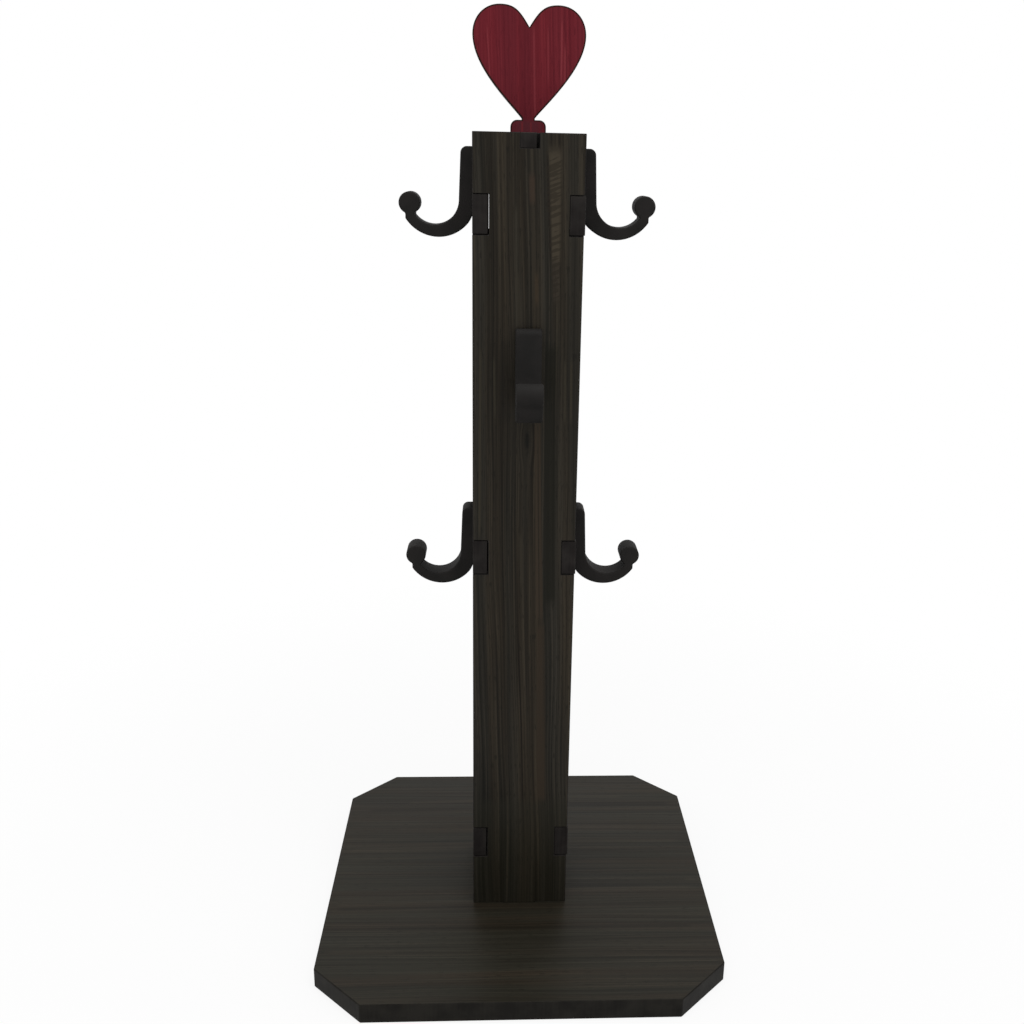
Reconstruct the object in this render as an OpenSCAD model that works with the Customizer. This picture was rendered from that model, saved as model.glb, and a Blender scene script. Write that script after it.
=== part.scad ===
// Mug tree: a hollow square post of slotted boards on a chamfered base, with six
// J-hooks for mugs and a flat heart on top. Millimetres, +Z up, front towards -Y,
// origin at the centre of the underside of the base.

/* [Base] */
// Width and depth of the base board
base_w = 176; // [150:1:220]
// Thickness of the base board
base_t = 9; // [6:0.5:18]
// Length cut off each corner, measured along the edge
base_chamfer = 21.7; // [5:0.1:40]

/* [Post] */
// Width of the front and back panels
post_w = 42.5; // [36:0.5:60]
// Depth of the post, over the front and back panels
post_d = 46.5; // [38:0.5:60]
// Height of the post above the base
post_h = 337; // [300:1:400]
// Thickness of the front and back panels, the top plate and the heart
board_t = 5.5; // [4:0.1:7]
// Thickness of the left and right panels
side_t = 5.9; // [4:0.1:7]
// How far the right panel stands proud of the front panel's edge
right_proud = 0.4; // [0:0.1:1]

/* [Slots and tabs] */
// Length of each notch in the long edges of the front and back panels
notch_len = 15; // [10:0.5:20]
// Depth left over in each notch on the left, behind the tab
left_slack = 0.45; // [0:0.05:1.5]
// Depth left over in each notch on the right, behind the tab
right_slack = 0.1; // [0:0.1:1.5]
// Height of the lowest notches above the base
low_notch_z = 25; // [10:0.5:40]
// Distance from the top of the post down to the highest notches
high_notch_drop = 22; // [10:0.5:40]
// Gap above and below each tab in its notch
tab_gap = 0.3; // [0:0.05:1]
// Width of the foot tenons that stand in the base
foot_tenon_w = 15; // [8:0.5:20]
// How far the foot tenons stop short of the underside of the base
foot_tenon_short = 0.3; // [0:0.1:2]
// Gap on each side of a tenon in its slot
slot_gap = 0.1; // [0:0.05:0.3]

/* [Hooks] */
// Height of a hook from the lowest point of its bend to its top
hook_h = 34.2; // [30:0.1:45]
// Thickness of a hook, from side to side
hook_t = 10.3; // [6:0.1:14]
// How far a hook reaches out from its panel
hook_reach = 29.1; // [28:0.1:33]
// Thickness of a hook's back at its top
hook_top_t = 4.9; // [4:0.1:7]
// Thickness of a hook's back where the bend starts
hook_root_t = 5.6; // [4.5:0.1:8]
// Thickness of a hook at the bottom of its bend
hook_sole_t = 4.7; // [3.5:0.1:7]
// Inner radius of the bend
bend_inner_r = 9.7; // [8:0.1:10.5]
// Outer radius of the bend
bend_outer_r = 15.4; // [14.2:0.1:16]
// Distance from the panel to the centre of the bend's outer arc
bend_outer_x = 13.7; // [13:0.1:14.8]
// Radius with which the bend's outside runs up into the panel
bend_corner_r = 9; // [3:0.5:12]
// Angle below the horizontal at which the bend's outer arc ends, under the rounded end
neck_angle = 33.5; // [26:0.5:38]
// Diameter of the rounded end
ball_d = 8.4; // [6.5:0.1:10]
// Height of the centre of the rounded end above the lowest point
ball_z = 12.8; // [11.5:0.1:15]
// Radius of the fillets on both sides of the neck, where the rounded end meets the bend
neck_fillet_r = 0.8; // [0.2:0.1:1.2]
// Rounding of the top outer corner of a hook
hook_corner_r = 2.5; // [1:0.1:3.5]
// Width of the tenon on the back of a hook
hook_tenon_w = 9; // [4:0.5:11]
// Height of the tenon on the back of a hook
hook_tenon_h = 15; // [8:0.5:18]
// Distance from the top of a hook down to its tenon
hook_tenon_drop = 2.5; // [1:0.1:4]
// Distance from the top of the post down to the upper hooks
upper_hook_drop = 5; // [4:0.1:20]
// Distance from the top of the post down to the front and back hooks
middle_hook_drop = 72; // [60:0.1:90]
// Distance from the top of the post down to the lower hooks
lower_hook_drop = 151.1; // [130:0.1:170]
// Place of the front and back hooks to the right of the post's centre
middle_hook_shift = 0.7; // [0:0.1:3]

/* [Heart] */
// Width of the heart
heart_w = 43; // [30:0.5:60]
// Height of the heart above the post, with its foot
heart_h = 45.6; // [30:0.1:70]
// Width of the narrow neck under the heart
neck_w = 5; // [3:0.1:8]
// Width of the foot
foot_w = 13.7; // [12:0.1:20]
// Height of the foot above the post
foot_h = 5; // [3.5:0.1:8]
// Rounding of the foot's top corners
foot_corner_r = 2.5; // [1:0.1:3]
// Width of the tenon under the foot
heart_tenon_w = 8; // [4:0.5:10]

/* [Top plate] */
// Width of the plate's two tabs, which lie in the tops of the front and back panels
plate_tab_w = 6.1; // [4:0.1:7]
// Place of the tabs to the left of the post's centre
plate_tab_shift = 0.3; // [0:0.1:1]
// Spare width of the tabs' notches, on the right of each tab
plate_tab_slack = 1.1; // [0:0.1:3]
// Gap between the plate and the panels round it
plate_gap = 0.2; // [0.1:0.05:1]

/* [Hidden] */

side_w = post_d - 2*board_t;            // side panel between the front and back panels
tab_h = notch_len - 2*tab_gap;
high_notch_z = post_h - high_notch_drop - notch_len;
notch_zs = [low_notch_z, (low_notch_z + high_notch_z)/2, high_notch_z];
left_face = post_w/2;                   // outer face of each side panel from the centre
right_face = post_w/2 + right_proud;
front_face = post_d/2;

bend_inner_c = [hook_root_t + bend_inner_r, hook_sole_t + bend_inner_r];
bend_outer_c = [bend_outer_x, bend_outer_r];
bend_corner_c = [                       // its arc touches the panel and the bend's outer arc
    bend_corner_r,
    bend_outer_r - sqrt(pow(bend_outer_r - bend_corner_r, 2) - pow(bend_outer_x - bend_corner_r, 2))
];
ball_c = [hook_reach - ball_d/2, ball_z];
hook_tenon_z = hook_h - hook_tenon_drop - hook_tenon_h;
post_top = base_t + post_h;
over = 1;                               // how far a cutter runs past a face

board_color = "#4a423a";
base_color = "#3b3531";
heart_color = "#7d2933";
hook_color = "#2a2827";

// ---- outlines -----------------------------------------------------------------

// A point on a cubic curve through a and d, with handles b and c
function bezier(a, b, c, d, t) =
    pow(1 - t, 3)*a + 3*t*pow(1 - t, 2)*b + 3*t*t*(1 - t)*c + t*t*t*d;

// Points of a cubic curve, without its first one
function curve(a, b, c, d, steps = 12) = [for (i = [1:steps]) bezier(a, b, c, d, i/steps)];

// Points of an arc round a centre
function arc(centre, r, from, to, steps = 8) =
    [for (i = [0:steps]) let (a = from + (to - from)*i/steps) centre + r*[cos(a), sin(a)]];

// Right half of the heart, its foot and its tenon, from the cusp round to the tenon's end.
// The lobe and the side are drawn as shares of the heart's half width and height.
function heart_half() =
    let (
        w = heart_w/2,
        h = heart_h,
        cusp = [0, 0.83*h],
        lobe = [0.51*w, h],
        wide = [w, 0.768*h],
        neck = [neck_w/2, foot_h + 0.6]
    )
    concat(
        [cusp],
        curve(cusp, [0.167*w, 0.954*h], [0.26*w, h], lobe),
        curve(lobe, [0.79*w, h], [w, 0.904*h], wide),
        curve(wide, [w, 0.513*h], neck + [0.17*w, 0.1*h], neck),
        [[neck_w/2, foot_h]],
        arc([foot_w/2 - foot_corner_r, foot_h - foot_corner_r], foot_corner_r, 90, 0),
        [[heart_tenon_w/2, 0], [heart_tenon_w/2, -board_t]]
    );

// ---- base ---------------------------------------------------------------------

// Slot for the foot tenon of a panel t thick, on the side of the post that the angle gives
module foot_slot(angle, face, t) {
    rotate([0, 0, angle])
        translate([face - t - slot_gap, -foot_tenon_w/2 - slot_gap, -over])
            cube([t + 2*slot_gap, foot_tenon_w + 2*slot_gap, base_t + 2*over]);
}

module base_plate() {
    half = base_w/2;
    flat = half - base_chamfer;
    color(base_color)
        difference() {
            linear_extrude(base_t)
                polygon([
                    [-flat, -half], [flat, -half], [half, -flat], [half, flat],
                    [flat, half], [-flat, half], [-half, flat], [-half, -flat]
                ]);
            foot_slot(0, right_face, side_t);
            foot_slot(90, front_face, board_t);
            foot_slot(180, left_face, side_t);
            foot_slot(270, front_face, board_t);
        }
}

// ---- post ---------------------------------------------------------------------

// A panel's foot tenon, standing in the base: w along the panel, t through it
module foot_tenon(size) {
    depth = base_t - foot_tenon_short;
    translate([-size[0]/2, -size[1]/2, -depth]) cube([size[0], size[1], depth + over]);
}

// Front or back panel, in the XZ plane, centred on its thickness
module wide_panel() {
    hook_z = post_h - middle_hook_drop - hook_h + hook_tenon_z;
    color(board_color)
        difference() {
            union() {
                translate([-post_w/2, -board_t/2, 0]) cube([post_w, board_t, post_h]);
                foot_tenon([foot_tenon_w, board_t]);
            }
            for (z = notch_zs) {
                translate([-left_face - over, -board_t/2 - over, z])
                    cube([over + side_t + left_slack, board_t + 2*over, notch_len]);
                translate([right_face - side_t - right_slack, -board_t/2 - over, z])
                    cube([right_slack + side_t + over, board_t + 2*over, notch_len]);
            }
            translate([-plate_tab_shift - plate_tab_w/2, -board_t/2 - over, post_h - board_t])
                cube([plate_tab_w + plate_tab_slack, board_t + 2*over, board_t + over]);
            translate([
                middle_hook_shift - hook_tenon_w/2 - slot_gap,
                -board_t/2 - over,
                hook_z - slot_gap
            ])
                cube([hook_tenon_w + 2*slot_gap, board_t + 2*over, hook_tenon_h + 2*slot_gap]);
        }
}

// Left or right panel, in the YZ plane, centred on Y and on its thickness
module side_panel() {
    color(board_color)
        difference() {
            union() {
                translate([-side_t/2, -side_w/2, 0]) cube([side_t, side_w, post_h]);
                foot_tenon([side_t, foot_tenon_w]);
                for (z = notch_zs)
                    translate([-side_t/2, -post_d/2, z + tab_gap]) cube([side_t, post_d, tab_h]);
            }
            for (drop = [upper_hook_drop, lower_hook_drop])
                translate([
                    -side_t/2 - over,
                    -hook_tenon_w/2 - slot_gap,
                    post_h - drop - hook_h + hook_tenon_z - slot_gap
                ])
                    cube([side_t + 2*over, hook_tenon_w + 2*slot_gap, hook_tenon_h + 2*slot_gap]);
        }
}

module front_panel() { translate([0, -front_face + board_t/2, base_t]) wide_panel(); }
module back_panel() { translate([0, front_face - board_t/2, base_t]) wide_panel(); }
module left_panel() { translate([-left_face + side_t/2, 0, base_t]) side_panel(); }
module right_panel() { translate([right_face - side_t/2, 0, base_t]) side_panel(); }

// ---- top plate and heart --------------------------------------------------------

// Closes the post between its panels, held by a tab in the front panel and one in the back
module top_plate() {
    left = -left_face + side_t + plate_gap;
    right = right_face - side_t - plate_gap;
    color(board_color)
        translate([0, 0, post_top - board_t])
            difference() {
                union() {
                    translate([left, -side_w/2 + plate_gap, 0])
                        cube([right - left, side_w - 2*plate_gap, board_t]);
                    translate([-plate_tab_shift - plate_tab_w/2, -post_d/2, 0])
                        cube([plate_tab_w, post_d, board_t]);
                }
                translate([-heart_tenon_w/2 - slot_gap, -board_t/2 - slot_gap, -over])
                    cube([
                        heart_tenon_w + 2*slot_gap,
                        board_t + 2*slot_gap,
                        board_t + 2*over
                    ]);
            }
}

module heart_topper() {
    half = heart_half();
    mirrored = [for (i = [len(half) - 1:-1:1]) [-half[i][0], half[i][1]]];
    color(heart_color)
        translate([0, board_t/2, post_top])
            rotate([90, 0, 0])
                linear_extrude(board_t)
                    polygon(concat(half, mirrored));
}

// ---- hooks ----------------------------------------------------------------------

// Direction from one point to another
function heading(from, to) = atan2(to[1] - from[1], to[0] - from[0]);

// Angle at a circle's centre between a second circle's centre and where the two cross
function crossing(r, other_r, gap) = acos((gap*gap + r*r - other_r*other_r)/(2*gap*r));

// A hook seen from its side: x out from the panel's face, y up from its lowest point.
// It runs down the panel, round the outside of the bend, straight up to the rounded end,
// over it and back along the inside, with a hollow fillet on each side of the neck.
function hook_outline() =
    let (
        corner_to = 360 + heading(bend_outer_c, bend_corner_c),
        neck_x = bend_outer_c[0] + bend_outer_r*cos(neck_angle),
        fillet_reach = ball_d/2 + neck_fillet_r,
        ball_from = -acos((neck_x + neck_fillet_r - ball_c[0])/fillet_reach),
        outer_fillet_c = ball_c + fillet_reach*[cos(ball_from), sin(ball_from)],
        gap = norm(ball_c - bend_inner_c),
        inner_reach = bend_inner_r - neck_fillet_r,
        ball_to = heading(ball_c, bend_inner_c) + crossing(fillet_reach, inner_reach, gap),
        inner_from = heading(bend_inner_c, ball_c) - crossing(inner_reach, fillet_reach, gap),
        inner_fillet_c = ball_c + fillet_reach*[cos(ball_to), sin(ball_to)],
        corner_c = [hook_top_t - hook_corner_r, hook_h - hook_corner_r]
    )
    concat(
        [[0, hook_h]],
        arc(bend_corner_c, bend_corner_r, 180, corner_to, 8),
        arc(bend_outer_c, bend_outer_r, corner_to, 360 - neck_angle, 30),
        arc(outer_fillet_c, neck_fillet_r, 180, 180 + ball_from, 6),
        arc(ball_c, ball_d/2, ball_from, ball_to, 30),
        arc(inner_fillet_c, neck_fillet_r, ball_to - 180, inner_from, 6),
        arc(bend_inner_c, bend_inner_r, inner_from, -180, 24),
        arc(corner_c, hook_corner_r, 0, 90)
    );

// A hook with a tenon that goes through a panel t thick
module hook(t) {
    color(hook_color) {
        rotate([90, 0, 0]) linear_extrude(hook_t, center = true) polygon(hook_outline());
        translate([-t, -hook_tenon_w/2, hook_tenon_z])
            cube([t + over, hook_tenon_w, hook_tenon_h]);
    }
}

// A hook on the side of the post that the angle gives, its top this far below the post's
module hook_at(angle, face, t, drop, shift = 0) {
    translate([shift, 0, 0])
        rotate([0, 0, angle]) translate([face, 0, post_top - drop - hook_h]) hook(t);
}

module upper_left_hook() { hook_at(180, left_face, side_t, upper_hook_drop); }
module upper_right_hook() { hook_at(0, right_face, side_t, upper_hook_drop); }
module front_hook() { hook_at(270, front_face, board_t, middle_hook_drop, middle_hook_shift); }
module back_hook() { hook_at(90, front_face, board_t, middle_hook_drop, middle_hook_shift); }
module lower_left_hook() { hook_at(180, left_face, side_t, lower_hook_drop); }
module lower_right_hook() { hook_at(0, right_face, side_t, lower_hook_drop); }

base_plate();
front_panel();
back_panel();
left_panel();
right_panel();
top_plate();
heart_topper();
upper_left_hook();
upper_right_hook();
front_hook();
back_hook();
lower_left_hook();
lower_right_hook();
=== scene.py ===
import math

import bmesh
import bpy
from mathutils import Matrix, Vector


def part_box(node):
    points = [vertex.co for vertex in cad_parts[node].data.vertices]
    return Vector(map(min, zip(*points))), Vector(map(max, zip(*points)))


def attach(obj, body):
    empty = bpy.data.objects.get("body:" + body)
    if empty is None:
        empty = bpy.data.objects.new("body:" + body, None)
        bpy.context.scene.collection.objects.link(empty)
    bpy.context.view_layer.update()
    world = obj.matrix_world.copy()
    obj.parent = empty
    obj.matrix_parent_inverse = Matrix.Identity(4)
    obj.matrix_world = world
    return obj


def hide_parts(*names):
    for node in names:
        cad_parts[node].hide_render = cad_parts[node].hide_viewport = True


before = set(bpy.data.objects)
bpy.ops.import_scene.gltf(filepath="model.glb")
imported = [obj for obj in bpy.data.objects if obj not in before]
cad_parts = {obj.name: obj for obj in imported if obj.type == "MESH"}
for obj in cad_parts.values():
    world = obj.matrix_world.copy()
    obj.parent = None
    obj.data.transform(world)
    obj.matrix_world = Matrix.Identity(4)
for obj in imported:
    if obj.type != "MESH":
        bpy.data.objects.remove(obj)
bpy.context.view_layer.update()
scene = bpy.context.scene
MM = 0.001

# ---- Studio -------------------------------------------------------------------------
# A white room: a white floor that keeps a faint shadow, one large soft lamp overhead, a
# weaker one in front and a small one at the left that edges the hooks. The camera stands
# close to the post and looks down on the base.


def linear(code):
    """An sRGB hex value as a linear colour."""
    parts = [int(code[i:i + 2], 16)/255 for i in (1, 3, 5)]
    return tuple(c/12.92 if c <= 0.04045 else ((c + 0.055)/1.055)**2.4 for c in parts) + (1,)


def add(tree, kind, inputs=(), out=None, **settings):
    """Adds a node with its settings and links, and returns one of its outputs: the one named, or
    the first in use. inputs are given by socket name, or in the order of the sockets in use; each
    is a value, another node's output, or a list of outputs for a socket that joins them."""
    node = tree.nodes.new(kind)
    for key, value in settings.items():
        setattr(node, key, value)
    if not isinstance(inputs, dict):
        in_use = [number for number, socket in enumerate(node.inputs) if socket.enabled]
        inputs = dict(zip(in_use, inputs))
    for key, value in inputs.items():
        for source in value if isinstance(value, list) else [value]:
            if isinstance(source, bpy.types.NodeSocket):
                tree.links.new(source, node.inputs[key])
            else:
                node.inputs[key].default_value = source
    if out:
        return node.outputs[out]
    return next((socket for socket in node.outputs if socket.enabled), None)


def seen_rays(tree):
    """1 for the rays that show the background: straight from the camera, or by gloss or glass."""
    rays = add(tree, "ShaderNodeLightPath").node.outputs
    seen = add(tree, "ShaderNodeMath", (rays["Is Camera Ray"], rays["Is Glossy Ray"]),
               operation="MAXIMUM")
    return add(tree, "ShaderNodeMath", (seen, rays["Is Transmission Ray"]), operation="MAXIMUM")


WHITE = linear("#ffffff")
AMBIENT = 0.42                          # light of the room from all round, 1 is white
FLOOR_SHADE = 0.16                      # share of the seen floor that a shadow can take away
FLOOR_HALF = 4.0

scene.view_settings.view_transform = "Standard"
scene.world = bpy.data.worlds.new("white_room")
scene.world.use_nodes = True
room = scene.world.node_tree
room.nodes.clear()
dim = add(room, "ShaderNodeBackground", (WHITE, AMBIENT))
bright = add(room, "ShaderNodeBackground", (WHITE, 1.0))
shown = add(room, "ShaderNodeMixShader", (seen_rays(room), dim, bright))
add(room, "ShaderNodeOutputWorld", (shown,))

# White paper: it lights the object as matt paper does, and looks white with a faint shadow
# near the object, and plain white further away
floor_mat = bpy.data.materials.new("white_floor_paper")
floor_mat.use_nodes = True
paper = floor_mat.node_tree
paper.nodes.clear()
bounce = add(paper, "ShaderNodeBsdfDiffuse", (linear("#e8e8e8"),))
shade = add(paper, "ShaderNodeBsdfDiffuse", ((FLOOR_SHADE,)*3 + (1,),))
glow = add(paper, "ShaderNodeEmission", (WHITE, 1 - FLOOR_SHADE))
near = add(paper, "ShaderNodeAddShader", (shade, glow))
far = add(paper, "ShaderNodeEmission", (WHITE, 1.0))
spot = add(paper, "ShaderNodeTexCoord", out="Object")
reach = add(paper, "ShaderNodeVectorMath", (spot,), operation="LENGTH")
fade = add(paper, "ShaderNodeMapRange", (reach, 0.15, 0.45), interpolation_type="SMOOTHSTEP")
look = add(paper, "ShaderNodeMixShader", (fade, near, far))
shown = add(paper, "ShaderNodeMixShader", (seen_rays(paper), bounce, look))
add(paper, "ShaderNodeOutputMaterial", (shown,))

floor_mesh = bpy.data.meshes.new("floor")
floor_corners = [(x*FLOOR_HALF, y*FLOOR_HALF, 0) for x, y in ((-1, -1), (1, -1), (1, 1), (-1, 1))]
floor_mesh.from_pydata(floor_corners, [], [(0, 1, 2, 3)])
floor_mesh.materials.append(floor_mat)
floor = bpy.data.objects.new("floor", floor_mesh)
scene.collection.objects.link(floor)

for name, place, aim, size, power in (
    ("overhead_softbox", (0.10, -0.30, 1.45), (0, 0, 0.1), 1.1, 12.0),
    ("front_fill", (-0.3, -1.5, 1.1), (0, 0, 0.2), 0.8, 1.5),
    ("left_edge_light", (-1.2, 0.15, 0.45), (0, 0, 0.2), 0.35, 0.8),
):
    light = bpy.data.lights.new(name, "AREA")
    light.size = size
    light.energy = power
    lamp = bpy.data.objects.new(name, light)
    lamp.location = place
    lamp.rotation_euler = (Vector(aim) - Vector(place)).to_track_quat("-Z", "Y").to_euler()
    scene.collection.objects.link(lamp)

# The camera's place and turn, worked out for a 36 mm wide sensor
CAMERA_PLACE = (-0.01176, -0.45458, 0.33405)
CAMERA_PAN, CAMERA_TILT, CAMERA_ROLL = -3.174, 18.200, 1.272
camera = bpy.data.cameras.new("camera")
camera.lens = 38.64
camera.shift_x = -0.0407
camera.shift_y = 0.0159
camera.clip_start = 0.01
viewer = bpy.data.objects.new("camera", camera)
viewer.matrix_world = (
    Matrix.Translation(CAMERA_PLACE)
    @ Matrix.Rotation(math.radians(CAMERA_PAN), 4, "Z")
    @ Matrix.Rotation(math.radians(90 - CAMERA_TILT), 4, "X")
    @ Matrix.Rotation(math.radians(CAMERA_ROLL), 4, "Z")
)
scene.collection.objects.link(viewer)
scene.camera = viewer

# ---- Base board ---------------------------------------------------------------------
# A square of 9 mm plywood with its corners cut off, laser-cut and stained dark walnut.
# The four panels' foot tenons are glued into slots that go right through it.


def new_finish(name):
    """A new material and its empty node tree."""
    material = bpy.data.materials.new(name)
    material.use_nodes = True
    material.node_tree.nodes.clear()
    return material, material.node_tree


def lay_marks(tree, colour, place, marks, ragged):
    """Single marks in the grain or of painted shade, laid over a colour. Each is given by its two ends:
    the place along the grain, the middle across it and half the width there, in millimetres, then its
    colour and how much of it shows. It fades out towards both ends, and ragged is a noise that breaks up
    its edges."""
    across, along = place
    for top, top_middle, top_half, low, low_middle, low_half, tone, strength in marks:
        span = (low, top)
        middle = add(tree, "ShaderNodeMapRange", (along, *span, low_middle, top_middle))
        half = add(tree, "ShaderNodeMapRange", (along, *span, low_half, top_half))
        off = add(tree, "ShaderNodeMath", (across, middle), operation="SUBTRACT")
        off = add(tree, "ShaderNodeMath", (off,), operation="ABSOLUTE")
        off = add(tree, "ShaderNodeMath", (off, half), operation="DIVIDE")
        off = add(tree, "ShaderNodeMath", (ragged, 1.6, off), operation="MULTIPLY_ADD")
        amount = add(tree, "ShaderNodeMapRange", (off, 1.3, 2.3, strength, 0.0),
                     interpolation_type="SMOOTHSTEP")
        fade = min(6.0, 0.3*(top - low))
        for start, end in ((top, top - fade), (low, low + fade)):
            ease = add(tree, "ShaderNodeMapRange", (along, start, end), interpolation_type="SMOOTHSTEP")
            amount = add(tree, "ShaderNodeMath", (amount, ease), operation="MULTIPLY")
        colour = add(tree, "ShaderNodeMix", (amount, colour, linear(tone)), data_type="RGBA")
    return colour


def stained_plywood(name, axes, lean, seed, browns, greys, contrast, marks=(), knots=(), curls=(),
                    specular=0.10, roughness=0.38, rim=None):
    """Plywood face under a thin satin stain. The stain sinks unevenly into the open grain, so that
    brown and grey-green streaks, 0.3 to 3 mm wide, run along it between short dark pores. axes are
    across the grain, along it and through the board, and lean is the grain's, in degrees. browns and
    greys are each a dark and a light tone, and contrast is how far the streaks spread between them.
    marks, knots and curls are single features of one board, and marks can also carry painted shade. A
    rim tone follows where the attribute char says that the beam has burnt the edge."""
    material, tree = new_finish(name)
    spot = add(tree, "ShaderNodeTexCoord", out="Object")
    spot = add(tree, "ShaderNodeVectorMath", (spot, (1/MM,)*3), operation="MULTIPLY")
    xyz = add(tree, "ShaderNodeSeparateXYZ", (spot,)).node.outputs
    across, along, through = (xyz[axis] for axis in axes)

    # The grain leans a little and wanders, and it parts round a knot
    slope = math.tan(math.radians(lean))
    bent = add(tree, "ShaderNodeMath", (along, slope, across), operation="MULTIPLY_ADD")
    slow = add(tree, "ShaderNodeCombineXYZ", (bent, along, seed))
    slow = add(tree, "ShaderNodeVectorMath", (slow, (0.06, 0.009, 1)), operation="MULTIPLY")
    slow = add(tree, "ShaderNodeTexNoise", {"Vector": slow, "Scale": 1.0, "Detail": 1.0})
    bent = add(tree, "ShaderNodeMath", (slow, 4.0, bent), operation="MULTIPLY_ADD")
    knot_dark = 0.0
    for knot_across, knot_along, knot_half in knots:
        side = add(tree, "ShaderNodeMath", (across, knot_across), operation="SUBTRACT")
        up = add(tree, "ShaderNodeMath", (along, knot_along), operation="SUBTRACT")
        ring = add(tree, "ShaderNodeCombineXYZ", (side, up))
        ring = add(tree, "ShaderNodeVectorMath", (ring, (1/knot_half, 0.3/knot_half, 0)),
                   operation="MULTIPLY")
        ring = add(tree, "ShaderNodeVectorMath", (ring,), operation="LENGTH")
        pull = add(tree, "ShaderNodeMapRange", (ring, 0.6, 4.0, 0.75, 0.0),
                   interpolation_type="SMOOTHSTEP")
        side = add(tree, "ShaderNodeMath", (side, pull), operation="MULTIPLY")
        bent = add(tree, "ShaderNodeMath", (bent, side), operation="SUBTRACT")
        core = add(tree, "ShaderNodeMapRange", (ring, 0.3, 1.4, 0.8, 0.0),
                   interpolation_type="SMOOTHSTEP")
        knot_dark = add(tree, "ShaderNodeMath", (knot_dark, core), operation="MAXIMUM")

    # Noises drawn out along the grain: width and length of their streaks in millimetres, then detail
    flow = add(tree, "ShaderNodeCombineXYZ", (bent, along, through))
    noise = {}
    for label, width, length, detail in (
        ("clouds", 12.0, 30.0, 2.0),
        ("hue", 3.0, 130.0, 1.5),
        ("bands", 2.2, 150.0, 1.0),
        ("streaks", 0.7, 80.0, 2.0),
        ("hairs", 0.3, 45.0, 1.0),
        ("pores", 0.25, 2.4, 0.0),
    ):
        seed += 11
        drawn = add(tree, "ShaderNodeMapping", {
            "Vector": flow,
            "Location": (seed, 1.7*seed, 0.6*seed),
            "Scale": (0.5/width, 0.5/length, 0.5/width),
        })
        noise[label] = add(tree, "ShaderNodeTexNoise", {"Vector": drawn, "Scale": 1.0, "Detail": detail})

    share = 0.0
    for label, weight in (("clouds", 0.3), ("bands", 0.45), ("streaks", 0.9), ("hairs", 0.85)):
        share = add(tree, "ShaderNodeMath", (noise[label], weight, share), operation="MULTIPLY_ADD")
    share = add(tree, "ShaderNodeMapRange", (share, 1.25 - 0.4/contrast, 1.25 + 0.6/contrast))
    sides = [add(tree, "ShaderNodeMix", (share, linear(dark), linear(light)), data_type="RGBA")
             for dark, light in (greys, browns)]
    warm = add(tree, "ShaderNodeMapRange", (noise["hue"], 0.35, 0.68), interpolation_type="SMOOTHSTEP")
    colour = add(tree, "ShaderNodeMix", (warm, *sides), data_type="RGBA")
    lines = add(tree, "ShaderNodeMapRange", (noise["hairs"], 0.62, 0.72, 0.0, 0.45),
                interpolation_type="SMOOTHSTEP")
    colour = add(tree, "ShaderNodeMix", (lines, colour, linear(browns[1])), data_type="RGBA")
    pits = add(tree, "ShaderNodeMapRange", (noise["pores"], 0.64, 0.76, 0.0, 0.5),
               interpolation_type="SMOOTHSTEP")
    colour = add(tree, "ShaderNodeMix", (pits, colour, linear(greys[0])), data_type="RGBA")
    colour = lay_marks(tree, colour, (across, along), marks, noise["streaks"])
    if curls:
        # Curly grain: darker ripples 2 mm apart cross the light strip, rising to one side
        rise = add(tree, "ShaderNodeMath", (across, -0.4, along), operation="MULTIPLY_ADD")
        curl = add(tree, "ShaderNodeCombineXYZ", (across, rise, seed))
        curl = add(tree, "ShaderNodeVectorMath", (curl, (0.08, 0.75, 1)), operation="MULTIPLY")
        curl = add(tree, "ShaderNodeTexNoise", {"Vector": curl, "Scale": 1.0, "Detail": 1.0})
        curl = add(tree, "ShaderNodeMapRange", (curl, 0.42, 0.56, 0.1, 1.5),
                   interpolation_type="SMOOTHSTEP")
        colour = lay_marks(tree, colour, (across, along), curls, curl)
    colour = add(tree, "ShaderNodeMix", (knot_dark, colour, linear(greys[0])), data_type="RGBA")
    if rim:
        char = add(tree, "ShaderNodeAttribute", out="Fac", attribute_name="char")
        burn = add(tree, "ShaderNodeMapRange", (char, 0.1, 0.9), interpolation_type="SMOOTHSTEP")
        colour = add(tree, "ShaderNodeMix", (burn, colour, linear(rim)), data_type="RGBA")

    height = add(tree, "ShaderNodeMath", (pits, -1.0, noise["streaks"]), operation="MULTIPLY_ADD")
    relief = add(tree, "ShaderNodeBump", {"Height": height, "Strength": 0.3, "Distance": 0.1*MM})
    smooth, rough = roughness - 0.04, roughness + 0.04
    worn = add(tree, "ShaderNodeMapRange", (noise["clouds"], 0.3, 0.7, smooth, rough))
    surface = add(tree, "ShaderNodeBsdfPrincipled", {
        "Base Color": colour,
        "Roughness": worn,
        "IOR": 1.5,
        "Specular IOR Level": specular,
        "Normal": relief,
    })
    add(tree, "ShaderNodeOutputMaterial", (surface,))
    return material


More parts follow.
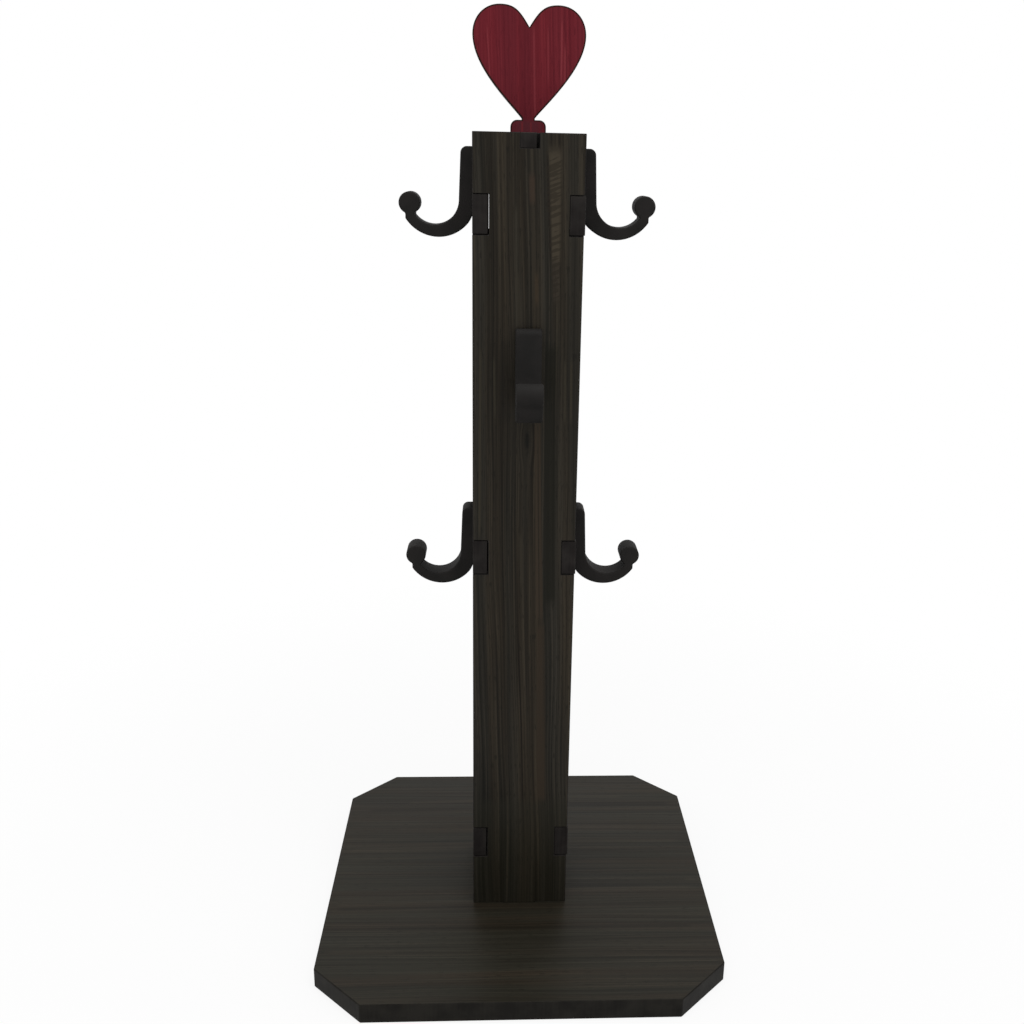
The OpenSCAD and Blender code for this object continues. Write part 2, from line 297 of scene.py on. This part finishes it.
def charred_edge(name, axes, seed, tones):
    """Laser-cut edge of plywood: an even brown-black char under the stain, with the faint upright
    ridges that the beam leaves every half millimetre."""
    material, tree = new_finish(name)
    spot = add(tree, "ShaderNodeTexCoord", out="Object")
    spot = add(tree, "ShaderNodeVectorMath", (spot, (1/MM,)*3), operation="MULTIPLY")
    xyz = add(tree, "ShaderNodeSeparateXYZ", (spot,)).node.outputs
    spot = add(tree, "ShaderNodeCombineXYZ", tuple(xyz[axis] for axis in axes))
    noise = []
    for scale in ((0.5/4.0, 0.5/6.0, 0.5/4.0), (0.5/0.5, 0.5/0.5, 0.5/9.0)):
        seed += 5
        drawn = add(tree, "ShaderNodeMapping", {"Vector": spot, "Location": (seed,)*3, "Scale": scale})
        noise.append(add(tree, "ShaderNodeTexNoise", {"Vector": drawn, "Scale": 1.0, "Detail": 2.0}))
    soot, ridges = noise
    share = add(tree, "ShaderNodeMath", (ridges, 0.35, soot), operation="MULTIPLY_ADD")
    share = add(tree, "ShaderNodeMapRange", (share, 0.5, 0.85))
    colour = add(tree, "ShaderNodeMix", (share, linear(tones[0]), linear(tones[1])), data_type="RGBA")
    relief = add(tree, "ShaderNodeBump", {"Height": ridges, "Strength": 0.25, "Distance": 0.05*MM})
    surface = add(tree, "ShaderNodeBsdfPrincipled", {
        "Base Color": colour,
        "Roughness": 0.55,
        "IOR": 1.5,
        "Specular IOR Level": 0.08,
        "Normal": relief,
    })
    add(tree, "ShaderNodeOutputMaterial", (surface,))
    return material


def cut_board(piece_name, node, through, face, edge, eased):
    """A board in place of its CAD node: the node's own shape, merged, with its edges eased. through is
    the axis that the board's thickness lies on; its two faces get face, and all else gets edge."""
    shape = bmesh.new()
    shape.from_mesh(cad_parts[node].data)
    bmesh.ops.remove_doubles(shape, verts=shape.verts, dist=0.005*MM)
    bmesh.ops.dissolve_limit(
        shape, angle_limit=math.radians(1), verts=shape.verts, edges=shape.edges)
    mesh = bpy.data.meshes.new(piece_name)
    shape.to_mesh(mesh)
    shape.free()
    blank = bpy.data.objects.new(piece_name, mesh)
    scene.collection.objects.link(blank)
    easing = blank.modifiers.new("eased edges", "BEVEL")
    easing.width = eased
    easing.segments = 2
    easing.limit_method = "ANGLE"
    easing.angle_limit = math.radians(30)
    easing.use_clamp_overlap = True
    finished = bpy.data.meshes.new_from_object(
        blank.evaluated_get(bpy.context.evaluated_depsgraph_get()))
    blank.modifiers.clear()
    blank.data = finished
    bpy.data.meshes.remove(mesh)
    finished.name = piece_name
    finished.materials.clear()
    finished.materials.append(face)
    finished.materials.append(edge)
    for polygon in finished.polygons:
        facing = abs(polygon.normal[through])
        polygon.material_index = 0 if facing > 0.99 else 1
        polygon.use_smooth = 0.02 < facing < 0.99
    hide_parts(node)
    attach(blank, "root")


X, Y, Z = 0, 1, 2                       # the axes, as a board's grain and thickness go by them

# Single marks of the base's veneer, from back to front, each from its right end to its left one
BASE_MARKS = (
    (60, 66.0, 1.3, 20, 66.0, 1.2, "#453d31", 0.15),
    (-18, 63.0, 1.2, -60, 61.0, 1.1, "#453d31", 0.12),
    (84, 58.5, 1.6, 22, 58.5, 1.4, "#15120c", 0.55),
    (-18, 55.5, 1.3, -80, 54.0, 1.2, "#15120c", 0.45),
    (84, 24.5, 1.2, 22, 25.0, 1.4, "#453d31", 0.15),
    (-22, 20.0, 1.3, -86, 18.5, 1.2, "#453d31", 0.15),
    (-22, 13.0, 1.0, -86, 11.0, 1.2, "#453d31", 0.12),
    (84, -7.5, 1.1, 20, -7.5, 1.0, "#15120c", 0.5),
    (62, -11.8, 0.9, 20, -12.0, 0.9, "#15120c", 0.45),
    (84, -13.7, 1.0, 20, -14.2, 1.1, "#453d31", 0.15),
    (-20, -18.5, 1.2, -86, -20.0, 1.2, "#453d31", 0.12),
    (-18, -23.0, 1.0, -86, -24.4, 1.0, "#453d31", 0.12),
    (-16, -26.0, 1.3, -86, -27.2, 1.4, "#15120c", 0.5),
    (80, -41.6, 1.2, -62, -41.0, 1.2, "#15120c", 0.5),
    (-52, -56.0, 1.2, -86, -56.2, 1.2, "#453d31", 0.12),
)
base_face = stained_plywood(
    "walnut_stained_plywood_base", (Y, X, Z), 0.3, 2.0,
    browns=("#1b160f", "#342e25"), greys=("#181610", "#312f27"), contrast=1.2,
    marks=BASE_MARKS, specular=0.12, roughness=0.46,
)
base_edge = charred_edge("laser_cut_edge_base", (X, Y, Z), 3.0, ("#151310", "#22201c"))
cut_board("base_board", "base_plate", Z, base_face, base_edge, eased=0.4*MM)

# ---- Post ---------------------------------------------------------------------------
# Four panels of 5.5 to 6 mm plywood, slotted and tabbed together along their edges and glued
# into the base. The grain runs up the post. A plate of the same board closes it on top.

EASED = 0.25*MM                         # rounding that sanding leaves on the cut edges
BROWNS = ("#17120c", "#3f382d")         # walnut stain where it has sunk in little
GREYS = ("#14130e", "#3b3730")          # and where the wood has taken it up, grey-green

# Single marks of the front panel's veneer, each from its upper end to its lower one, and painted
# shade beside the front hook. Then its knot, as its place across and along and its half width, and
# the curly part of its light strip
FRONT_MARKS_AND_HOOK_SHADE = (
    (343, 9.1, 2.4, 296, 10.7, 1.4, "#433c31", 1.0),
    (302, 10.5, 1.4, 282, 11.2, 1.0, "#3b342c", 0.6),
    (342, 6.6, 0.5, 296, 8.9, 0.4, "#1b1712", 0.8),
    (333, 1.0, 1.0, 319, 1.6, 0.9, "#3b3027", 0.9),
    (322, -4.7, 0.4, 268, -3.9, 0.4, "#36322a", 0.8),
    (298, -3.8, 0.4, 268, -2.8, 0.4, "#353027", 0.7),
    (297, 3.2, 0.8, 281, 3.8, 0.7, "#393025", 0.9),
    (284, 11.8, 0.3, 252, 11.9, 0.2, "#353127", 0.7),
    (264, -12.8, 0.4, 236, -12.2, 0.3, "#353127", 0.8),
    (268, -18.1, 0.5, 186, -18.5, 0.4, "#383329", 0.8),
    (264, 15.2, 0.4, 234, 15.7, 0.4, "#383329", 0.8),
    (264, 17.6, 0.4, 234, 18.1, 0.4, "#383329", 0.8),
    # Grey-green band right of the front hook: grain below z 238, painted shadow of the hook above it
    (270, 9.6, 2.4, 156, 11.6, 2.2, "#16150e", 0.8),
    # Painted shade: a soft dark strip on the panel left of the front hook, over the hook's height
    (272, -8.6, 1.6, 234, -8.2, 1.6, "#1b1813", 0.5),
    (240, 4.0, 0.5, 148, 6.1, 0.6, "#393026", 0.95),
    (240, 5.4, 0.4, 148, 7.8, 0.6, "#372e24", 0.9),
    (233, 0.5, 0.5, 225, 0.9, 0.35, "#0c0a07", 0.95),
    (192, -1.5, 0.7, 164, -0.9, 0.5, "#353027", 0.7),
    (152, 7.0, 1.5, 60, 8.8, 1.9, "#352c22", 0.85),
    (66, 0.0, 40.0, 0, 0.0, 40.0, "#28271f", 0.4),
)
FRONT_KNOTS = ((0.6, 229, 1.1),)
FRONT_CURLS = ((342, 9.1, 2.2, 282, 11.2, 1.0, "#28231b", 0.6),)

post_edge = charred_edge("laser_cut_edge_post", (X, Y, Z), 7.0, ("#1c1918", "#2b2826"))
for number, (board, node, through, axes) in enumerate((
    ("front_board", "front_panel", Y, (X, Z, Y)),
    ("back_board", "back_panel", Y, (X, Z, Y)),
    ("left_board", "left_panel", X, (Y, Z, X)),
    ("right_board", "right_panel", X, (Y, Z, X)),
)):
    front = board == "front_board"
    face = stained_plywood(
        "walnut_stained_plywood_" + board, axes, (1.2, 0.4, -0.6, 0.5)[number], 5.0 + 90*number,
        browns=BROWNS, greys=GREYS, contrast=1.25,
        marks=FRONT_MARKS_AND_HOOK_SHADE if front else (),
        knots=FRONT_KNOTS if front else (),
        curls=FRONT_CURLS if front else (),
    )
    cut_board(board, node, through, face, post_edge, eased=EASED)

plate_face = stained_plywood(
    "walnut_stained_plywood_top_plate", (Y, X, Z), 0.5, 461.0,
    browns=BROWNS, greys=GREYS, contrast=1.0,
)
cut_board("top_plate_board", "top_plate", Z, plate_face, post_edge, eased=EASED)

# ---- Heart --------------------------------------------------------------------------
# A heart with a small foot, laser-cut from the same 5.5 mm plywood and stained maroon. The
# beam has charred its rim. A tenon under the foot is glued into a slot in the top plate.


def bezier(start, handle_1, handle_2, end, steps=24):
    """Points of a cubic curve, without its first one."""
    a, b, c, d = (Vector(p) for p in (start, handle_1, handle_2, end))
    return [(1 - t)**3*a + 3*t*(1 - t)**2*b + 3*t*t*(1 - t)*c + t**3*d
            for t in (i/steps for i in range(1, steps + 1))]


def arc(centre, radius, start, end, steps):
    """Points of an arc round a centre, its angles in degrees."""
    angles = [math.radians(start + (end - start)*i/steps) for i in range(steps + 1)]
    return [Vector(centre) + radius*Vector((math.cos(a), math.sin(a))) for a in angles]


def laser_cut_tree():
    """Geometry Nodes that cut a part from board: a flat outline, turning left, becomes a plate with
    rounded edges. The attribute char is 1 on the cut edge and fades to 0 over a margin on each face."""
    tree = bpy.data.node_groups.new("laser_cut_part", "GeometryNodeTree")
    for label, kind in (("Outline", "Geometry"), ("Thickness", "Float"), ("Edge Radius", "Float"),
                        ("Margin", "Float"), ("Turn", "Rotation"), ("Place", "Vector"),
                        ("Finish", "Material")):
        tree.interface.new_socket(label, in_out="INPUT", socket_type="NodeSocket" + kind)
    tree.interface.new_socket("Part", in_out="OUTPUT", socket_type="NodeSocketGeometry")
    given = add(tree, "NodeGroupInput").node.outputs
    line = add(tree, "GeometryNodeSetCurveNormal", (given["Outline"],), mode="Z_UP")
    radius = given["Edge Radius"]
    half = add(tree, "ShaderNodeMath", (given["Thickness"], 0.5), operation="MULTIPLY")
    minus_half = add(tree, "ShaderNodeMath", (half, -1.0), operation="MULTIPLY")
    rounding = add(tree, "ShaderNodeMath", (radius, -1.0), operation="MULTIPLY")
    inner = add(tree, "ShaderNodeMath", (rounding, given["Margin"]), operation="SUBTRACT")
    upper = add(tree, "ShaderNodeMath", (minus_half, radius), operation="ADD")
    lower = add(tree, "ShaderNodeMath", (half, radius), operation="SUBTRACT")

    # Section of the rim, from the top face round to the bottom one: X is outwards and Y is down
    section = []
    for start, end in (((inner, minus_half), (rounding, minus_half)),
                       ((0.0, upper), (0.0, lower)),
                       ((rounding, half), (inner, half))):
        ends = [add(tree, "ShaderNodeCombineXYZ", place) for place in (start, end)]
        section.append(add(tree, "GeometryNodeCurvePrimitiveLine", tuple(ends)))
    for bend, start in ((upper, -90), (lower, 0)):
        quarter = add(tree, "GeometryNodeCurveArc", {
            "Radius": 1.0, "Start Angle": math.radians(start), "Sweep Angle": math.radians(90),
            "Resolution": 6}, mode="RADIUS")
        section.append(add(tree, "GeometryNodeTransform", {
            "Geometry": quarter,
            "Translation": add(tree, "ShaderNodeCombineXYZ", (rounding, bend)),
            "Scale": add(tree, "ShaderNodeCombineXYZ", (radius, radius, 1.0)),
        }))
    section = add(tree, "GeometryNodeJoinGeometry", (section,))
    out = add(tree, "ShaderNodeSeparateXYZ", (add(tree, "GeometryNodeInputPosition"),))
    char = add(tree, "ShaderNodeMapRange", (out, inner, rounding))
    section = add(tree, "GeometryNodeStoreNamedAttribute", {
        "Geometry": section, "Name": "char", "Value": char}, data_type="FLOAT", domain="POINT")
    rim = add(tree, "GeometryNodeCurveToMesh", (line, section))

    # The two faces, as far in as the rim's section reaches
    outwards = add(tree, "GeometryNodeInputNormal")
    pull = add(tree, "ShaderNodeVectorMath", (outwards, inner), operation="SCALE")
    inset = add(tree, "GeometryNodeSetPosition", {"Geometry": line, "Offset": pull})
    flat = add(tree, "GeometryNodeFillCurve", (inset,), mode="NGONS")
    raised = add(tree, "ShaderNodeCombineXYZ", {"Z": half})
    sunk = add(tree, "ShaderNodeCombineXYZ", {"Z": minus_half})
    top = add(tree, "GeometryNodeTransform", (flat, raised))
    bottom = add(tree, "GeometryNodeFlipFaces", (add(tree, "GeometryNodeTransform", (flat, sunk)),))
    whole = add(tree, "GeometryNodeJoinGeometry", ([rim, top, bottom],))
    whole = add(tree, "GeometryNodeMergeByDistance", {"Geometry": whole, "Distance": 0.002*MM})
    whole = add(tree, "GeometryNodeTransform", {
        "Geometry": whole, "Rotation": given["Turn"], "Translation": given["Place"]})
    whole = add(tree, "GeometryNodeRealizeInstances", (whole,))
    whole = add(tree, "GeometryNodeSetMaterial", {"Geometry": whole, "Material": given["Finish"]})
    add(tree, "NodeGroupOutput", (whole,))
    return tree


laser_cut_part = laser_cut_tree()


def cut_part(piece_name, outline, **sizes):
    """A piece cut along an outline, as a plain mesh in its place. sizes go by the names of the
    laser_cut_part tree's inputs. A point that falls on the one before it is left out."""
    same = 0.001*MM
    outline = [p for number, p in enumerate(outline) if (p - outline[number - 1]).length > same]
    curve = bpy.data.curves.new(piece_name, "CURVE")
    curve.dimensions = "2D"
    curve.fill_mode = "NONE"
    line = curve.splines.new("POLY")
    line.points.add(len(outline) - 1)
    line.use_cyclic_u = True
    for point, (across, up) in zip(line.points, outline):
        point.co = (across, up, 0, 1)
    drawn = bpy.data.objects.new(piece_name + "_outline", curve)
    scene.collection.objects.link(drawn)
    cutter = drawn.modifiers.new("laser cut", "NODES")
    cutter.node_group = laser_cut_part
    labels = {item.name: item.identifier for item in laser_cut_part.interface.items_tree}
    for label, value in sizes.items():
        cutter[labels[label.replace("_", " ")]] = value
    mesh = bpy.data.meshes.new_from_object(
        drawn.evaluated_get(bpy.context.evaluated_depsgraph_get()))
    bpy.data.objects.remove(drawn)
    mesh.name = piece_name
    mesh.materials.clear()
    mesh.materials.append(sizes["Finish"])
    mesh.polygons.foreach_set("material_index", [0]*len(mesh.polygons))
    made = bpy.data.objects.new(piece_name, mesh)
    scene.collection.objects.link(made)
    return made


heart_low, heart_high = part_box("heart_topper")
heart_t = heart_high.y - heart_low.y
post_top = heart_low.z + heart_t        # the tenon is as deep as the board is thick
half_w = (heart_high.x - heart_low.x)/2
heart_h = heart_high.z - post_top
FOOT_W, FOOT_H, FOOT_CORNER = 13.7*MM, 5*MM, 2.5*MM
NECK_W, NECK_BLEND = 5*MM, 0.6*MM
TENON_HALF = 4*MM

# Right half of the outline, from the tenon's end round the foot and up over the lobe to the cusp
cusp, lobe, wide = (0, 0.83*heart_h), (0.51*half_w, heart_h), (half_w, 0.768*heart_h)
neck = (NECK_W/2, FOOT_H + NECK_BLEND)
heart_half = [Vector(cusp)]
heart_half += bezier(cusp, (0.167*half_w, 0.954*heart_h), (0.26*half_w, heart_h), lobe)
heart_half += bezier(lobe, (0.79*half_w, heart_h), (half_w, 0.904*heart_h), wide)
heart_half += bezier(wide, (half_w, 0.513*heart_h), (neck[0] + 0.17*half_w, neck[1] + 0.1*heart_h), neck)
heart_half += [Vector((NECK_W/2, FOOT_H))]
heart_half += arc((FOOT_W/2 - FOOT_CORNER, FOOT_H - FOOT_CORNER), FOOT_CORNER, 90, 0, 8)
heart_half += [Vector((FOOT_W/2, 0)), Vector((TENON_HALF, 0)), Vector((TENON_HALF, -heart_t))]
heart_half.reverse()
mirrored = [Vector((-p.x, p.y)) for p in heart_half[-2::-1]]

# Single marks of the heart's veneer: its darker foot, then light streaks from left to right
HEART_MARKS = (
    (352, 0.0, 5.0, 344, 0.0, 6.0, "#5e2e36", 0.7),
    (386, -16.1, 0.25, 362, -14.6, 0.25, "#86353c", 0.8),
    (386, 1.5, 0.4, 350, 2.6, 0.4, "#8c3a41", 0.5),
    (386, 7.0, 0.3, 362, 7.5, 0.3, "#86353c", 0.6),
    (389, 12.2, 0.3, 362, 12.4, 0.3, "#8a3940", 0.8),
    (380, 13.5, 0.3, 357, 13.9, 0.3, "#86353c", 0.8),
    (351, -2.4, 0.3, 346, -2.3, 0.3, "#7e2e34", 0.8),
    (351, 1.0, 0.3, 346, 1.1, 0.3, "#7e2e34", 0.7),
)
maroon = stained_plywood(
    "maroon_stained_plywood", (X, Z, Y), 1.5, 71.0,
    browns=("#5e1923", "#812c34"), greys=("#5a1b24", "#7e2d36"), contrast=0.9,
    marks=HEART_MARKS, specular=0.06, roughness=0.45, rim="#271813",
)
heart = cut_part(
    "heart", heart_half + mirrored,
    Thickness=heart_t, Edge_Radius=0.3*MM, Margin=0.5*MM,
    Turn=(math.radians(90), 0, 0),
    Place=((heart_low.x + heart_high.x)/2, (heart_low.y + heart_high.y)/2, post_top),
    Finish=maroon,
)
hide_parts("heart_topper")
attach(heart, "root")

# ---- Hooks --------------------------------------------------------------------------
# Six J-shaped hooks moulded in satin charcoal plastic, 10 mm thick: two high and two low on
# the sides, and one each in the middle of the front and back. A tenon on the back of each
# is glued into a slot that goes through its panel.

HOOK_REACH = 29.1*MM
TOP_T, ROOT_T, SOLE_T = 4.9*MM, 5.6*MM, 4.7*MM
INNER_R, OUTER_R, OUTER_X, CORNER_R = 9.7*MM, 15.4*MM, 13.7*MM, 9*MM
NECK_ANGLE, NECK_FILLET = 33.5, 0.8*MM
BALL_R, BALL_Z = 4.2*MM, 12.8*MM
TOP_CORNER = 2.5*MM
TENON_W, TENON_H, TENON_DROP = 9*MM, 15*MM, 2.5*MM
TENON_LAP = 1*MM                        # how far the tenon's solid runs into the hook's


def turn_of(start, end):
    """Direction from one point to another, in degrees."""
    return math.degrees(math.atan2(end[1] - start[1], end[0] - start[0]))


def crossing(radius, other, gap):
    """Angle at a circle's centre between a second circle's centre and where the two cross."""
    return math.degrees(math.acos((gap**2 + radius**2 - other**2)/(2*gap*radius)))


def hook_outline(height):
    """A hook from its side, x out from the panel and y up from its lowest point: down the panel,
    round the bend, straight up to the rounded end, over it and back along the inside. A hollow
    fillet lies on each side of the neck."""
    inner_c = Vector((ROOT_T + INNER_R, SOLE_T + INNER_R))
    outer_c = Vector((OUTER_X, OUTER_R))
    ball_c = Vector((HOOK_REACH - BALL_R, BALL_Z))
    rise = math.sqrt((OUTER_R - CORNER_R)**2 - (OUTER_X - CORNER_R)**2)
    corner_c = Vector((CORNER_R, OUTER_R - rise))
    corner_to = 360 + turn_of(outer_c, corner_c)
    neck_x = OUTER_X + OUTER_R*math.cos(math.radians(NECK_ANGLE))
    reach = BALL_R + NECK_FILLET
    inner_reach = INNER_R - NECK_FILLET
    gap = (ball_c - inner_c).length
    ball_from = -math.degrees(math.acos((neck_x + NECK_FILLET - ball_c.x)/reach))
    ball_to = turn_of(ball_c, inner_c) + crossing(reach, inner_reach, gap)
    inner_from = turn_of(inner_c, ball_c) - crossing(inner_reach, reach, gap)
    outer_fillet_c, inner_fillet_c = (
        ball_c + reach*Vector((math.cos(math.radians(a)), math.sin(math.radians(a))))
        for a in (ball_from, ball_to))
    points = [Vector((0, height))]
    points += arc(corner_c, CORNER_R, 180, corner_to, 16)
    points += arc(outer_c, OUTER_R, corner_to, 360 - NECK_ANGLE, 44)
    points += arc(outer_fillet_c, NECK_FILLET, 180, 180 + ball_from, 8)
    points += arc(ball_c, BALL_R, ball_from, ball_to, 40)
    points += arc(inner_fillet_c, NECK_FILLET, ball_to - 180, inner_from, 8)
    points += arc(inner_c, INNER_R, inner_from, -180, 40)
    points += arc((TOP_T - TOP_CORNER, height - TOP_CORNER), TOP_CORNER, 0, 90, 8)
    return points


def satin_charcoal():
    """Moulded plastic with a satin skin: charcoal, with a low broad sheen and a very fine grain."""
    material, tree = new_finish("satin_charcoal_plastic")
    spot = add(tree, "ShaderNodeTexCoord", out="Object")
    spot = add(tree, "ShaderNodeVectorMath", (spot, (1/MM,)*3), operation="MULTIPLY")
    cloud = add(tree, "ShaderNodeTexNoise", {"Vector": spot, "Scale": 0.12, "Detail": 3.0})
    skin = add(tree, "ShaderNodeTexNoise", {"Vector": spot, "Scale": 1.6, "Detail": 2.0})
    cloud = add(tree, "ShaderNodeMapRange", (cloud, 0.35, 0.65))
    colour = add(tree, "ShaderNodeMix", (cloud, linear("#272625"), linear("#2d2b2a")), data_type="RGBA")
    relief = add(tree, "ShaderNodeBump", {"Height": skin, "Strength": 0.2, "Distance": 0.05*MM})
    surface = add(tree, "ShaderNodeBsdfPrincipled", {
        "Base Color": colour,
        "Roughness": add(tree, "ShaderNodeMapRange", (skin, 0.3, 0.7, 0.56, 0.64)),
        "IOR": 1.5,
        "Specular IOR Level": 0.03,
        "Normal": relief,
    })
    add(tree, "ShaderNodeOutputMaterial", (surface,))
    return material


hook_finish = satin_charcoal()
for node, angle in (("upper_left_hook", 180), ("upper_right_hook", 0), ("front_hook", 270),
                    ("back_hook", 90), ("lower_left_hook", 180), ("lower_right_hook", 0)):
    low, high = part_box(node)
    size, middle = high - low, (low + high)/2
    out = Vector((round(math.cos(math.radians(angle))), round(math.sin(math.radians(angle))), 0))
    tip = max(out.dot(low), out.dot(high))
    panel = tip - HOOK_REACH            # the panel's face, out from the post's middle
    place = middle + out*(panel - out.dot(middle))
    setting = {
        "Turn": (math.radians(90), 0, math.radians(angle)),
        "Place": (place.x, place.y, low.z),
        "Finish": hook_finish,
    }
    hook = cut_part(node.replace("_hook", "_mug_hook"), hook_outline(size.z),
                    Thickness=size.x if out.x == 0 else size.y,
                    Edge_Radius=0.6*MM, Margin=0.4*MM, **setting)
    tenon_end = min(out.dot(low), out.dot(high)) - panel
    tenon_low = size.z - TENON_DROP - TENON_H
    tenon_high = size.z - TENON_DROP
    tenon_outline = [Vector(corner) for corner in (
        (tenon_end, tenon_low), (TENON_LAP, tenon_low),
        (TENON_LAP, tenon_high), (tenon_end, tenon_high))]
    tenon = cut_part("tenon", tenon_outline,
                     Thickness=TENON_W, Edge_Radius=0.2*MM, Margin=0.2*MM, **setting)
    union = hook.modifiers.new("tenon", "BOOLEAN")
    union.operation = "UNION"
    union.solver = "EXACT"
    union.object = tenon
    whole = bpy.data.meshes.new_from_object(
        hook.evaluated_get(bpy.context.evaluated_depsgraph_get()))
    hook.modifiers.clear()
    hook.data = whole
    whole.name = hook.name
    bpy.data.objects.remove(tenon)
    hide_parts(node)
    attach(hook, "root")
